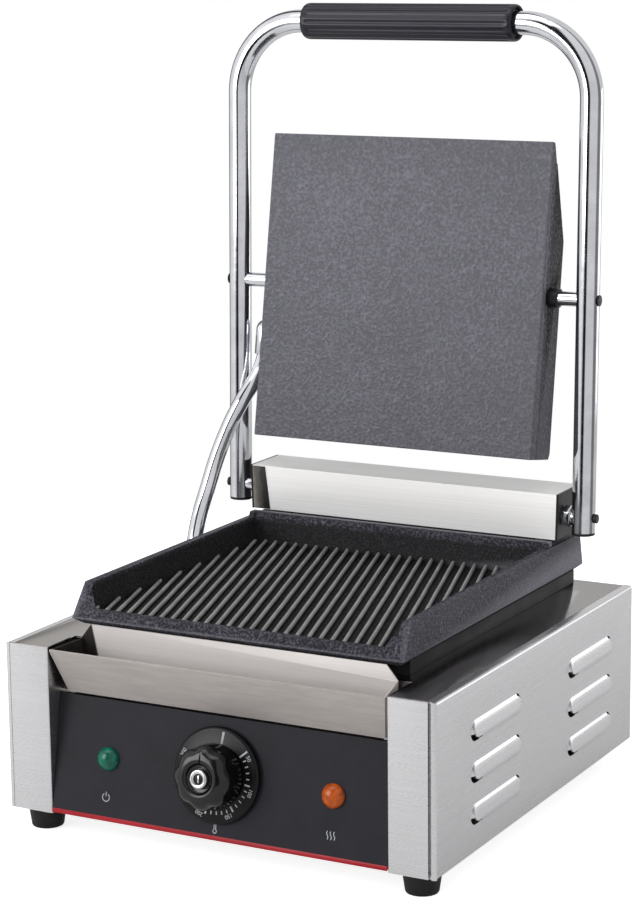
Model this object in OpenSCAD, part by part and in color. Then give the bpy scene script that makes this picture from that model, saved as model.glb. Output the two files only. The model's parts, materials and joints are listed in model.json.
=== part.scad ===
// Panini press with a ribbed lower plate, a lid on a bent tube handle and a drip tray.
// Inside the modules Y is counted from the front of the pillars, and place() centres the object.

/* [Body] */
// Width of the body
body_w = 310; // [306:1:316]
// Depth of the body
body_d = 315; // [313:1:318]
// Height of the deck above the table
deck_z = 126.5; // [126:0.1:127]
// Width of each front pillar
pillar_w = 32.6; // [31:0.2:34]
// Height of the rubber feet
foot_h = 15; // [13:1:17]
// Thickness of the stainless sheet
sheet = 1.2; // [1:0.1:1.4]

/* [Lower plate] */
// Half the width of the lower plate over its rims
rim_x = 120; // [118:0.5:121]
// Height of the rims
rim_z = 162; // [160:0.5:162.5]
// Height of the tops of the ribs
rib_z = 146.5; // [145.5:0.1:147]
// Distance from rib to rib, along the width
rib_pitch = 8.3; // [7:0.1:10]
// Width of a rib's top
rib_w = 2.2; // [1.6:0.1:2.6]
// Angle of the ribs to the depth of the plate
rib_angle = 17.7; // [0:0.1:22]

/* [Lid] */
// Distance of the hinge shaft behind the front of the pillars
shaft_y = 274.5; // [274:0.1:275]
// Height of the hinge shaft
shaft_z = 181.5; // [181:0.1:182]
// Distance from the hinge shaft to the plate's pivot
arm = 149.5; // [148:0.5:151]
// Distance from the hinge shaft to the grip
reach = 333.5; // [325:0.5:345]
// Angle that the open handle leans back
lean = 1.56; // [1:0.01:3]
// Half the distance between the handle's legs
leg_x = 135; // [134:0.5:137]
// Diameter of the handle tube
tube_d = 16; // [15:0.1:16.4]
// Side of the square upper plate
plate_w = 215; // [213:0.5:216]
// Angle that the open upper plate leans back
plate_tilt = 9.8; // [9:0.1:10.2]

/* [Controls] */
// Angle that the control panel leans back
panel_tilt = 10.3; // [9:0.1:11]
// Diameter of the knob's skirt
skirt_d = 62; // [56:0.5:64]
// Diameter of the knob's grip
grip_d = 41; // [38:0.5:44]
// Distance from the centre line to each lamp
lamp_x = 82; // [70:1:95]

/* [Hidden] */
$fn = 48;

gap = 0.3;                        // air between sheets that only lie side by side
big = 400;                        // longer than anything that it cuts
half_w = body_w / 2;
pillar_x = half_w - pillar_w;     // inner edge of each pillar
flange = 6;                       // width of the folded edges of the side panels
deck_x = half_w - flange - gap;
recess_d = 34;                    // depth of the recess that holds the drip tray

// Control panel
panel_top = 93.4;
panel_h = (panel_top - foot_h) / cos(panel_tilt);
panel_y = panel_h * sin(panel_tilt);
overlay_t = 0.5;
knob_z = 42.7;                    // height of the knob's axis along the panel
knob_out = 26.5;                  // distance from the panel to the knob's front
lamp_z = 41.5;
lamp_hole_r = 6.3;
stem_r = 3;
stem_hole_r = 5;                  // hole in the panel for the thermostat's stem

// Drip tray
tray_t = 1;
tray_x = 121;                     // half the width at the lip
tray_low_x = 115;                 // half the width at the floor
tray_floor = 95.6;
lip_z = 125.3;
lip_foot_y = 12.5;
tray_back = 30.5;
tray_wall_z = 137;                // top of the rear wall, under the plate's front
tray_wall_x = 107.5;              // half the width of that top
tray_shoulder_z = 127.5;          // where the rear wall starts to narrow

// Lower plate
plate_z = 136;                    // underside of the casting
plate_front = 27;
plate_rear = 308;
rim_w = 6.5;
groove_z = rib_z - 3.5;
bed_front = 35;                   // inner edge of the front lip
bed_rear = 252;                   // foot of the splash wall
bed_mouth_x = 104.5;              // half the width of the hollow at the front lip
splash_y = 262;
splash_z = 165.5;
skirt_x = 115.5;
skirt_front = 46;
skirt_rear = 305;
window_x = 95;                    // half the width of the opening in the deck
window_front = 60;
window_rear = 240;

// Hinge
box_x = 119.2;
box_taper = 0.8;                  // narrowing of each end towards the bottom
box_cap = 1.5;                    // thickness of the black end caps
box_front = 264;
box_rear = 303;
box_z0 = 166;
box_z1 = 198;
shaft_r = 5;
collar_r = 6.6;
running = 0.05;                   // radial clearance of a running fit
bush_r = 7.5;
bracket_x = 103;
bracket_t = 4;

// Handle
tube_r = tube_d / 2;
tube_wall = 1.3;
bend_r = 50;
end_screw_r = 2.7;
grip_x = 80.5;
handle_grip_r = 12.7;

// Upper plate, with Y from its cooking face and Z from its centre
half_p = plate_w / 2;
pin_y = 14;                       // pivot's distance behind the cooking face
pin_z = 3.1;                      // pivot's height above the plate's centre
iron_t = 9.5;                     // thickness of the casting at its edges
iron_web = 6;                     // thickness of the casting over its pocket
cover_t = 1.6;
cover_top_z = 42;                 // where the cover reaches its full height
cover_top_y = 30;
cover_low_y = 33;
front_y = 4;                      // thickness at the lid's front edge
slope = (cover_top_y - front_y) / (half_p - cover_top_z);
cover_start_z = half_p - (iron_t - front_y) / slope;
block_x = 80;
block_w = 18;
elbow_z = -32;
elbow_y = 22;
elbow_x = 115.5;
elbow_drop = 18;

// Conduit from the deck to the lid
conduit_r = 5.6;
conduit_hole_r = 6.3;
conduit_deck_r = 7;               // hole in the deck for the conduit's gland
conduit_x = 141;
conduit_y = 214;
conduit_route = [
    [-141, 214, 112], [-141, 214, 124], [-141, 214, 136], [-142, 219, 150], [-143, 228, 166],
    [-141, 237, 185], [-137, 244, 206], [-130, 250, 228], [-123, 257, 246], [-118.5, 264, 257],
    [-116.2, 271.5, 266.5], [-115.5, 276.9, 276], [-115.5, 278.6, 284], [-115.5, 280, 292]
];
ring_sides = 12;
ring_steps = 3;

gland_y = 13;                     // distance that the mains gland stands out at the back
middle_y = (knob_low_y() + body_d + gland_y) / 2;

// The knob's lowest front edge is the object's foremost point
function knob_low_y() = knob_z * sin(panel_tilt) - knob_out * cos(panel_tilt)
    - grip_d / 2 * sin(panel_tilt);

module place() translate([0, -middle_y, 0]) children();

// Draws its children on the right and mirrored on the left
module both_sides() {
    children();
    mirror([1, 0, 0]) children();
}

// Draws its children on the side that is asked for, 1 for right and -1 for left
module on_side(side) mirror([side < 0 ? 1 : 0, 0, 0]) children();

// A box that is centred on the width
module slab(width, y0, y1, z0, z1) translate([-width / 2, y0, z0]) cube([width, y1 - y0, z1 - z0]);

// A cylinder along X, from x0 to x1
module bar_x(x0, x1, radius) translate([x0, 0, 0]) rotate([0, 90, 0]) cylinder(h = x1 - x0, r = radius);

// A cylinder along Y, from y0 to y1
module bar_y(y0, y1, radius) translate([0, y0, 0]) rotate([-90, 0, 0]) cylinder(h = y1 - y0, r = radius);

// A prism along X over points that are [y, z] pairs
module prism_x(x0, x1, points) translate([x0, 0, 0]) rotate([90, 0, 90]) linear_extrude(x1 - x0) polygon(points);

// A prism along Y over points that are [x, z] pairs
module prism_y(y0, y1, points) translate([0, y1, 0]) rotate([90, 0, 0]) linear_extrude(y1 - y0) polygon(points);

module slot_2d(length, width) {
    square([length - width, width], center = true);
    for (side = [-1, 1]) translate([side * (length - width) / 2, 0]) circle(d = width);
}

// Frames of the sloping panel, of the handle's arm and of the upper plate
module panel_frame() translate([0, 0, foot_h]) rotate([-panel_tilt, 0, 0]) children();
module arm_frame() translate([0, shaft_y, shaft_z]) rotate([-lean, 0, 0]) children();
module plate_frame() arm_frame() translate([0, 0, arm]) rotate([lean - plate_tilt, 0, 0])
    translate([0, -pin_y, -pin_z]) children();

// ---------- Body shell ----------

louvre_l = 74;
louvre_h = 13;
louvre_out = 3;
louvre_pitch = 27;
louvre_mid_z = 67.5;
louvre_columns = [87, 239.5];
vent_l = 9;
vent_h = 5.5;

module louvre_places() for (y = louvre_columns, row = [-1, 0, 1])
    translate([half_w, y, louvre_mid_z + row * louvre_pitch]) rotate([90, 0, 90]) children();

// A pressed hood, with a vent cut through its lower front corner and its upper rear corner
module louvre_hood() difference() {
    linear_extrude(louvre_out) slot_2d(louvre_l, louvre_h);
    translate([0, 0, -1]) linear_extrude(louvre_out + 1 - sheet) slot_2d(louvre_l - 2 * sheet, louvre_h - 2 * sheet);
    for (end = [0, 180]) rotate([0, 0, end]) translate([0, 0, -1]) linear_extrude(louvre_out + 2)
        polygon([
            [-louvre_l / 2, -louvre_h / 2], [vent_l - louvre_l / 2, -louvre_h / 2],
            [sheet - louvre_l / 2, vent_h - louvre_h / 2], [-louvre_l / 2, vent_h - louvre_h / 2]
        ]);
}

module side_panel(side) color("gainsboro") place() on_side(side) {
    wall_h = deck_z - foot_h;
    pillar_back = 28;
    difference() {
        union() {
            translate([half_w - sheet, 0, foot_h]) cube([sheet, body_d, wall_h]);
            translate([pillar_x, 0, foot_h]) cube([pillar_w, sheet, wall_h]);
            translate([pillar_x, 0, foot_h]) cube([sheet, pillar_back, wall_h - sheet - gap]);
            for (z = [foot_h, deck_z - sheet]) translate([half_w - flange, 0, z]) cube([flange, body_d, sheet]);
        }
        louvre_places() translate([0, 0, -big / 4]) linear_extrude(big / 2)
            slot_2d(louvre_l - 2 * sheet, louvre_h - 2 * sheet);
    }
    louvre_places() louvre_hood();
}

module base_pan() color("silver") place() {
    pan_z = foot_h + sheet;
    difference() {
        union() {
            slab(2 * (half_w - sheet - gap), sheet + gap, body_d - sheet - gap, pan_z, pan_z + sheet);
            both_sides() translate([half_w - 2 * sheet - gap, sheet + gap + flange, pan_z])
                cube([sheet, body_d - 2 * (sheet + gap + flange), 10]);
        }
        for (x = [-60, -30, 0, 30, 60], y = [110, 200]) translate([x, y, pan_z - 1])
            rotate([0, 0, 90]) linear_extrude(2 * sheet + 2) slot_2d(50, 6);
        foot_places() translate([0, 0, -1]) cylinder(h = big, r = screw_r + gap);
        slab(2 * (pillar_x + sheet + gap), 0, panel_foot_d, pan_z - 1, pan_z + sheet + 1);
        both_sides() translate([pillar_x - gap, 0, pan_z - 1]) cube([sheet + 2 * gap, 29, 2 * sheet]);
    }
}
panel_foot_d = 6;

module top_deck() color("lightgray") place() difference() {
    union() {
        slab(2 * deck_x, sheet + gap, body_d - sheet - gap, deck_z - sheet, deck_z);
        slab(2 * (pillar_x - gap), recess_d, recess_d + sheet, deck_z - 18, deck_z);
    }
    slab(2 * pillar_x, 0, recess_d, deck_z - 20, deck_z + 1);
    slab(2 * window_x, window_front, window_rear, deck_z - 5, deck_z + 1);
    translate([-conduit_x, conduit_y, deck_z - 5]) cylinder(h = 10, r = conduit_deck_r);
}

module rear_panel() color("lightgray") place() difference() {
    slab(2 * (half_w - sheet - gap), body_d - sheet, body_d, foot_h + sheet + gap, deck_z - sheet - gap);
    translate([gland_x, body_d - 5, gland_z]) bar_y(0, 10, gland_r);
    for (x = [-90, -60, -30, 0], z = [70, 85, 100]) translate([x, body_d + 1, z]) rotate([90, 0, 0])
        linear_extrude(sheet + 2) slot_2d(24, 5);
    rear_screw_places() bar_y(-5, 5, screw_r + gap);
}
gland_x = 110;
gland_z = 42;
gland_r = 8;

screw_r = 2;
module rear_screw_places() for (x = [-half_w + 12, 0, half_w - 12], z = [28, deck_z - 12])
    translate([x, body_d, z]) children();

module control_panel() color("dimgray") place() {
    width = 2 * (pillar_x - gap);
    difference() {
        panel_frame() slab(width, 0, sheet, 1.8, panel_h);
        panel_frame() translate([0, 0, knob_z]) bar_y(-1, 3, stem_hole_r);
        panel_frame() lamp_places() bar_y(-1, 3, lamp_hole_r);
    }
    slab(width - 4, panel_y + gap, recess_d - gap, panel_top - sheet - 1, panel_top - 1);
}

module lamp_places() for (side = [-1, 1]) translate([side * lamp_x, 0, lamp_z]) children();

module panel_overlay() color([0.23, 0.22, 0.25]) place() panel_frame() difference() {
    slab(2 * (pillar_x - gap), -overlay_t, 0, 4, panel_h);
    translate([0, 0, knob_z]) bar_y(-1, 1, stem_hole_r);
    lamp_places() bar_y(-1, 1, lamp_hole_r);
}

module trim_strip() color("crimson") place() panel_frame() slab(2 * (pillar_x - gap), -overlay_t, 0, 1, 4 - 0.05);

module tray_rails() color("silver") place() both_sides()
    translate([pillar_x - 10, 16, tray_floor - 2]) cube([10, recess_d - 17, 1.8]);

// ---------- Feet ----------

foot_r = 12.7;
front_foot = [half_w - 17.5, 17];
rear_foot = [half_w - 30, body_d - 20];   // the rear feet stand further in than the front ones
module foot_places() both_sides() for (spot = [front_foot, rear_foot]) translate(spot) children();

module foot(side, spot) color([0.08, 0.08, 0.08]) place() on_side(side) translate(spot) difference() {
    cylinder(h = foot_h, r1 = foot_r - 2.2, r2 = foot_r);
    translate([0, 0, -1]) cylinder(h = foot_h + 2, r = screw_r + gap);
    translate([0, 0, -1]) cylinder(h = 6, r = 5);
}

module foot_screws() color("silver") place() foot_places() {
    translate([0, 0, 2]) cylinder(h = 3, r = 4);
    translate([0, 0, 4.9]) cylinder(h = foot_h + 4, r = screw_r);
}

// ---------- Lower plate ----------

// The plate's outer block: a section across the width meets a section along the depth
module plate_block() intersection() {
    prism_y(0, big, [
        [-rim_x + 5, plate_z], [rim_x - 5, plate_z], [rim_x + 0.8, plate_z + 4.3],
        [rim_x - 1, rim_z], [-rim_x + 1, rim_z], [-rim_x - 0.8, plate_z + 4.3]
    ]);
    prism_x(-rim_x - 5, rim_x + 5, [
        [plate_front + 6, plate_z], [plate_front, plate_z + 4.3], [41, rim_z],
        [plate_rear - 1, rim_z], [plate_rear, plate_z + 4.3], [plate_rear - 4, plate_z]
    ]);
}

// The hollow over the grooves, with sloping walls and cut front corners; spread widens it for the ribs' ends
module bed(spread) intersection() {
    prism_y(0, big, [
        [-rim_x + 10.8 - spread, groove_z - spread], [rim_x - 10.8 + spread, groove_z - spread],
        [rim_x - rim_w + spread, rim_z + 5], [-rim_x + rim_w - spread, rim_z + 5]
    ]);
    prism_x(-rim_x, rim_x, [
        [bed_front + 2 - spread, groove_z - spread], [bed_rear + spread, groove_z - spread],
        [bed_rear + 4.5 + spread, splash_z + 5], [-10, splash_z + 5], [-10, rib_z], [bed_front - spread, rib_z]
    ]);
    linear_extrude(big) polygon([
        [-bed_mouth_x, -10], [-bed_mouth_x, plate_front + 4], [-rim_x, plate_front + 20], [-rim_x, big],
        [rim_x, big], [rim_x, plate_front + 20], [bed_mouth_x, plate_front + 4], [bed_mouth_x, -10]
    ]);
}

// Ribs run from the front to the back and drift to the left
module ribs() {
    first = -ceil(rim_x / rib_pitch);
    last = ceil((rim_x + (bed_rear - bed_front) * tan(rib_angle)) / rib_pitch);
    for (i = [first : last]) translate([i * rib_pitch, bed_front, groove_z - 0.5]) rotate([0, 0, rib_angle])
        translate([-rib_w / 2, -rib_pitch, 0]) cube([rib_w, big, rib_z - groove_z + 0.5]);
}

module lower_plate() color([0.33, 0.33, 0.36]) place() {
    difference() {
        union() {
            plate_block();
            prism_x(-rim_x + 3, rim_x - 3, [
                [bed_rear - 2, rim_z - 8], [bed_rear + 3, splash_z], [splash_y, splash_z], [splash_y, rim_z - 8]
            ]);
        }
        bed(0);
        slab(2 * (rim_x - 12), splash_y + 2, plate_rear - 6, plate_z - 1, rim_z + 10);
    }
    intersection() {
        bed(0.6);
        ribs();
    }
}

module support_skirt() color([0.16, 0.16, 0.17]) place() difference() {
    slab(2 * skirt_x, skirt_front, skirt_rear, deck_z, plate_z);
    slab(2 * (skirt_x - 2), skirt_front + 2, skirt_rear - 2, deck_z - 1, plate_z + 1);
}

element_r = 4;
element_z = 131.6;
element_rows = [-66, -22, 22, 66];
element_y0 = 95;
element_y1 = 205;

// A tubular element: straight legs along the depth, joined by half rings at alternate ends
module heater_loops(rows, radius, y0, y1) {
    for (x = rows) translate([x, 0, 0]) bar_y(y0, y1, radius);
    for (i = [0 : len(rows) - 2]) {
        far = i % 2 == 0;
        middle = (rows[i] + rows[i + 1]) / 2;
        translate([middle, far ? y1 : y0, 0]) rotate([0, 0, far ? 0 : 180])
            rotate_extrude(angle = 180) translate([(rows[i + 1] - rows[i]) / 2, 0]) circle(r = radius);
    }
}

module lower_element() color("darkslategray") place() translate([0, 0, element_z])
    heater_loops(element_rows, element_r, element_y0, element_y1);

stud_r = 3;
module stud_places() for (x = [-44, 44], y = [120, 180]) translate([x, y, 0]) children();

module lower_clamp() color("silver") place() difference() {
    slab(170, 68, 232, element_z - element_r - 2.2, element_z - element_r - gap);
    stud_places() cylinder(h = big, r = stud_r + gap);
}

module lower_insulation() color("beige") place() difference() {
    slab(166, 70, 230, element_z - element_r - 9, element_z - element_r - 2.2);
    stud_places() cylinder(h = big, r = stud_r + gap);
}

module lower_studs() color("gray") place() stud_places() {
    translate([0, 0, 110]) cylinder(h = plate_z - 110, r = stud_r);
    translate([0, 0, element_z - element_r - 14]) cylinder(h = 5, r = 5.5, $fn = 6);
}

// ---------- Hinge ----------

// A block along Y whose ends narrow towards the bottom
module box_block(y0, y1, x, z0, z1) prism_y(y0, y1, [
    [-x + box_taper, z0], [x - box_taper, z0], [x, z1], [-x, z1]
]);

module hinge_box() color("whitesmoke") place() difference() {
    box_block(box_front, box_rear, box_x, box_z0, box_z1);
    box_block(box_front + sheet, box_rear - sheet, box_x - sheet, box_z0 - 1, box_z1 - sheet);
    translate([0, shaft_y, shaft_z]) bar_x(-big / 2, big / 2, bush_r + gap);
    box_screw_places() bar_y(-5, 5, screw_r + gap);
}

// Flat end caps that follow the box's slanted ends, with a hole for the shaft
module hinge_box_caps() color([0.07, 0.07, 0.07]) place() both_sides() difference() {
    prism_y(box_front, box_rear, [
        [box_x - box_taper, box_z0], [box_x - box_taper + box_cap, box_z0], [box_x + box_cap, box_z1], [box_x, box_z1]
    ]);
    translate([0, shaft_y, shaft_z]) bar_x(0, big / 2, shaft_r + gap);
}

module box_screw_places() for (x = [-80, 80]) translate([x, box_rear, box_z0 + 8]) children();

// Steel brackets that stand on the deck and carry the shaft
module hinge_brackets() color("slategray") place() both_sides() difference() {
    union() {
        prism_x(bracket_x, bracket_x + bracket_t, [
            [box_front + 2.5, deck_z], [box_rear - 3, deck_z], [box_rear - 8, box_z0],
            [shaft_y + 9, shaft_z + 8], [box_front + 1.5, shaft_z + 8], [box_front + 1.5, shaft_z - 9]
        ]);
        translate([bracket_x - 14, box_front + 4, deck_z]) cube([15, box_rear - box_front - 8, 3]);
    }
    translate([0, shaft_y, shaft_z]) bar_x(0, big / 2, bush_r);
}

module shaft_bushes() color("darkgoldenrod") place() translate([0, shaft_y, shaft_z]) both_sides() difference() {
    union() {
        bar_x(bracket_x, box_x - box_taper, bush_r - running);
        bar_x(bracket_x - 2, bracket_x, bush_r + 1);
    }
    bar_x(0, big / 2, shaft_r + running);
}

spring_wire_r = 1.25;
spring_r = 7.7;
spring_turns = 16;

// Close-wound coils, and a leg that bears on the bracket's foot
module torsion_spring(side) color("dimgray") place() on_side(side) translate([0, shaft_y, shaft_z]) {
    translate([60, 0, 0]) rotate([0, 90, 0]) rotate_extrude() for (i = [0 : spring_turns - 1])
        translate([spring_r, i * 2 * (spring_wire_r - 0.03)]) circle(r = spring_wire_r, $fn = 24);
    translate([60 + (spring_turns - 1) * 2 * (spring_wire_r - 0.03), spring_r, 130 - shaft_z])
        cylinder(h = shaft_z - 130, r = spring_wire_r, $fn = 24);
}

module hinge_box_screws() color("silver") place() box_screw_places() {
    bar_y(0, 1.8, 3.6);
    bar_y(-6, 0.1, screw_r);
}

// ---------- Inside the body ----------

module thermostat_body() color("beige") place() panel_frame() translate([0, 0, knob_z]) difference() {
    translate([-19, sheet, -17]) cube([38, 26, 34]);
    bar_y(0, 14, stem_r + gap);
}

bulb_x = 33;
capillary_y = 63;
capillary_drop = 36;
// The sensing bulb under the lower plate, with the first stretch of its capillary
module thermostat_bulb() color("peru") place() translate([bulb_x, 0, element_z]) {
    bar_y(105, 195, 2.8);
    bar_y(capillary_y, 106, 1);
    translate([0, capillary_y, -capillary_drop]) cylinder(h = capillary_drop, r = 1);
    for (z = [0, -capillary_drop]) translate([0, capillary_y, z]) sphere(r = 1.01);
    translate([0, 0, -capillary_drop]) bar_y(37, capillary_y, 1);
}

module lens(side, tint) color(tint) place() panel_frame() translate([side * lamp_x, 0, lamp_z]) {
    bar_y(-overlay_t - 1.5, -overlay_t, 7.7);
    bar_y(-overlay_t - 0.1, 5, 5.5);
    translate([0, -overlay_t - 1.5, 0]) difference() {
        translate([0, 4, 0]) sphere(r = 8.68);
        bar_y(0, 20, 12);
    }
}

module lamp_holders() color([0.1, 0.1, 0.1]) place() panel_frame() lamp_places() difference() {
    union() {
        bar_y(sheet, sheet + 3, 9);
        bar_y(sheet, sheet + 24, 6.5);
    }
    bar_y(0, 5.5, 5.5 + running);
}

module terminal_block() color("ivory") place() difference() {
    translate([70, body_d - 60, foot_h + 2 * sheet]) cube([44, 22, 20]);
    for (i = [0 : 2]) translate([80 + 12 * i, body_d - 49, foot_h + 12]) cylinder(h = 20, r = 2.6);
}

module mains_gland() color([0.1, 0.1, 0.1]) place() translate([gland_x, body_d, gland_z]) difference() {
    union() {
        bar_y(-8, 3, gland_r - running);
        bar_y(0, 5, 11);
        bar_y(5, gland_y, 9);
        translate([0, -sheet, 0]) bar_y(-4, 0, 11);
    }
    bar_y(-20, 20, 4);
}

module conduit_gland() color("silver") place() translate([-conduit_x, conduit_y, deck_z]) difference() {
    union() {
        translate([0, 0, -10]) cylinder(h = 11, r = conduit_deck_r - running);
        cylinder(h = 3, r = 10.5);
        translate([0, 0, 3]) cylinder(h = 6, r = 9.5, $fn = 6);
        translate([0, 0, -sheet - 4]) cylinder(h = 4, r = 9);
    }
    translate([0, 0, -20]) cylinder(h = 40, r = conduit_hole_r);
}

// Catmull-Rom curve through the route, and a tube swept along it
function curve_at(p, i, t) = let (
        a = p[max(i - 1, 0)], b = p[i], c = p[i + 1], d = p[min(i + 2, len(p) - 1)]
    ) 0.5 * (2 * b + (c - a) * t + (2 * a - 5 * b + 4 * c - d) * t * t + (3 * b - a - 3 * c + d) * t * t * t);
function curve(p, steps) = concat(
    [for (i = [0 : len(p) - 2], k = [0 : steps - 1]) curve_at(p, i, k / steps)], [p[len(p) - 1]]);
function unit(v) = v / norm(v);
function tangent(p, i) = unit(p[min(i + 1, len(p) - 1)] - p[max(i - 1, 0)]);
function ring(p, i, r, sides) = let (t = tangent(p, i), side = unit(cross(t, [1, 0, 0])), out = cross(side, t))
    [for (k = [0 : sides - 1]) p[i] + r * (cos(360 * k / sides) * out + sin(360 * k / sides) * side)];

module swept_tube(p, r, sides) {
    rings = [for (i = [0 : len(p) - 1]) each ring(p, i, r, sides)];
    last = (len(p) - 1) * sides;
    walls = [for (i = [0 : len(p) - 2], k = [0 : sides - 1]) let (a = i * sides + k, b = i * sides + (k + 1) % sides)
        [a, b, b + sides, a + sides]];
    split = [for (w = walls) each [[w[0], w[1], w[2]], [w[0], w[2], w[3]]]];
    polyhedron(rings, concat(split, [[for (k = [sides - 1 : -1 : 0]) k]], [[for (k = [0 : sides - 1]) last + k]]));
}

module conduit() color("silver") place() swept_tube(curve(conduit_route, ring_steps), conduit_r, ring_sides);

module panel_screws() color("silver") place() {
    rear_screw_places() {
        bar_y(0, 2, 3.6);
        bar_y(-8, 0.1, screw_r);
    }
}

// ---------- Drip tray ----------

module tray_end() hull() {
    translate([tray_x - tray_t, 0.3, lip_z - 1]) cube([tray_t, 0.8, 1]);
    translate([tray_low_x - tray_t, lip_foot_y, tray_floor]) cube([tray_t, 1, 1]);
    translate([tray_low_x - tray_t, tray_back - tray_t, tray_floor]) cube([tray_t, tray_t, 1]);
    translate([tray_low_x - tray_t, tray_back - tray_t, 126]) cube([tray_t, tray_t, 1]);
}

module drip_tray() color("lightgray") place() {
    lip_run = lip_foot_y - gap;
    lip_rise = lip_z - tray_floor;
    lip_lean = atan(lip_run / lip_rise);
    lip_len = norm([lip_run, lip_rise]);
    translate([0, lip_foot_y, tray_floor]) rotate([lip_lean, 0, 0]) prism_y(0, tray_t, [
        [-tray_low_x, 0], [tray_low_x, 0], [tray_x, lip_len], [-tray_x, lip_len]
    ]);
    slab(2 * tray_low_x, lip_foot_y, tray_back, tray_floor, tray_floor + tray_t);
    prism_y(tray_back - tray_t, tray_back, [
        [-tray_low_x, tray_floor], [tray_low_x, tray_floor], [tray_low_x, tray_shoulder_z], [tray_wall_x, tray_wall_z],
        [-tray_wall_x, tray_wall_z], [-tray_low_x, tray_shoulder_z]
    ]);
    both_sides() tray_end();
}

// ---------- Handle ----------

// A tube of radius r: two legs, two bends and the bar between them
module handle_path(r) {
    straight = reach - bend_r;
    both_sides() {
        translate([leg_x, 0, -10]) cylinder(h = straight + 10, r = r);
        translate([leg_x - bend_r, 0, straight]) rotate([90, 0, 0]) rotate_extrude(angle = 90)
            translate([bend_r, 0]) circle(r = r);
    }
    translate([0, 0, reach]) bar_x(bend_r - leg_x, leg_x - bend_r, r);
}

module handle_tube() color("gainsboro") place() arm_frame() difference() {
    handle_path(tube_r);
    both_sides() {
        translate([leg_x, 0, -11]) cylinder(h = reach - bend_r + 11, r = tube_r - tube_wall);
        translate([leg_x - bend_r, 0, reach - bend_r]) rotate([90, 0, 0]) rotate_extrude(angle = 90)
            translate([bend_r, 0]) circle(r = tube_r - tube_wall);
    }
    translate([0, 0, reach]) bar_x(bend_r - leg_x, leg_x - bend_r, tube_r - tube_wall);
    for (z = [0, arm]) translate([0, 0, z]) both_sides() {
        bar_x(0, leg_x, shaft_r + running);
        bar_x(0, big / 2, end_screw_r + running);
    }
}

module handle_grip() color([0.12, 0.11, 0.14]) place() arm_frame() translate([0, 0, reach]) difference() {
    bar_x(-grip_x, grip_x, handle_grip_r);
    bar_x(-big / 2, big / 2, tube_r + running);
    for (i = [0 : 15]) rotate([i * 22.5, 0, 0]) translate([0, 0, handle_grip_r + 1.1])
        bar_x(-grip_x + 4, grip_x - 4, 2, $fn = 24);
}

module leg_plugs() color([0.1, 0.1, 0.1]) place() arm_frame() both_sides() translate([leg_x, 0, -10]) {
    translate([0, 0, -2]) cylinder(h = 2, r = tube_r);
    cylinder(h = 3.5, r = tube_r - tube_wall - running);
}

// The shaft and the pins end inside the legs, where a screw from outside holds them
module end_bore() bar_x(leg_x - 12, leg_x + 1, end_screw_r + 0.1);

module end_screw(head_t, head_r) {
    bar_x(leg_x + tube_r, leg_x + tube_r + head_t, head_r);
    bar_x(leg_x - 11, leg_x + tube_r + 0.1, end_screw_r);
}

module hinge_shaft() color("gainsboro") place() arm_frame() difference() {
    bar_x(-leg_x, leg_x, shaft_r);
    both_sides() end_bore();
}

module shaft_screws() color([0.08, 0.08, 0.08]) place() arm_frame() both_sides() end_screw(2.2, 3.2);

module shaft_collar() color("silver") place() arm_frame() difference() {
    bar_x(leg_x - tube_r - 5.5, leg_x - tube_r - 0.2, 7.6, $fn = 6);
    bar_x(0, big / 2, shaft_r + running);
}

module spring_carriers() color("gray") place() arm_frame() both_sides() difference() {
    bar_x(50, 58, 8.6);
    bar_x(0, 60, shaft_r + running);
}

module pivot_pins() color("gainsboro") place() arm_frame() translate([0, 0, arm]) both_sides() difference() {
    bar_x(block_x + 1, leg_x, shaft_r);
    end_bore();
}

module pin_screws() color([0.08, 0.08, 0.08]) place() arm_frame() translate([0, 0, arm]) both_sides() end_screw(0.8, 3.8);

// ---------- Upper plate ----------

module at_pin() translate([0, pin_y, pin_z]) children();

module upper_plate() color([0.35, 0.35, 0.37]) place() plate_frame() difference() {
    prism_x(-half_p, half_p, [
        [0, -half_p], [0, half_p], [front_y, half_p], [iron_t, cover_start_z], [iron_t, -half_p]
    ]);
    slab(2 * (half_p - 8), iron_web, iron_t + 1, -half_p + 8, cover_start_z - 8);
    at_pin() bar_x(-big / 2, big / 2, collar_r + gap);
}

// The cover's section, drawn in by inset on every side that is seen
function cover_section(inset) = [
    [iron_t - (inset > 0 ? 1 : 0), cover_start_z - inset * 2.7],
    [cover_top_y - inset, cover_top_z - inset * 0.2],
    [cover_low_y - inset, -half_p + 4 + inset * 0.4],
    [cover_low_y - 2 - inset * 0.4, -half_p + inset],
    [iron_t - (inset > 0 ? 1 : 0), -half_p + inset]
];

module upper_cover() color([0.28, 0.28, 0.3]) place() plate_frame() difference() {
    prism_x(-half_p, half_p, cover_section(0));
    prism_x(-half_p + cover_t, half_p - cover_t, cover_section(cover_t));
    at_pin() bar_x(-big / 2, big / 2, collar_r + gap);
    translate([0, elbow_y, elbow_z]) bar_x(-big / 2, 0, 4.2);
    for (x = cover_screw_x, z = cover_screw_z) translate([x, 0, z]) bar_y(0, 50, screw_r + gap);
}

cover_screw_x = [-90, 90];
cover_screw_z = [-90, 30];

upper_rows = [-66, -22, 22, 66];
upper_element_y = iron_web + 3.7;
module upper_element() color("darkslategray") place() plate_frame() translate([0, upper_element_y, -18])
    rotate([90, 0, 0]) heater_loops(upper_rows, 3.3, -45, 45);

module upper_clamp() color("silver") place() plate_frame()
    slab(156, upper_element_y + 3.5, upper_element_y + 4.7, -90, 52);

module upper_insulation() color("beige") place() plate_frame()
    slab(152, upper_element_y + 4.7, upper_element_y + 10, -88, 50);

// Bearing blocks on the casting that turn on the pins
module pivot_blocks() color("slategray") place() plate_frame() both_sides() difference() {
    translate([block_x, iron_web, pin_z - 11]) cube([block_w, pin_y - iron_web + 10, 22]);
    at_pin() bar_x(0, big / 2, shaft_r + running);
}

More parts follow.
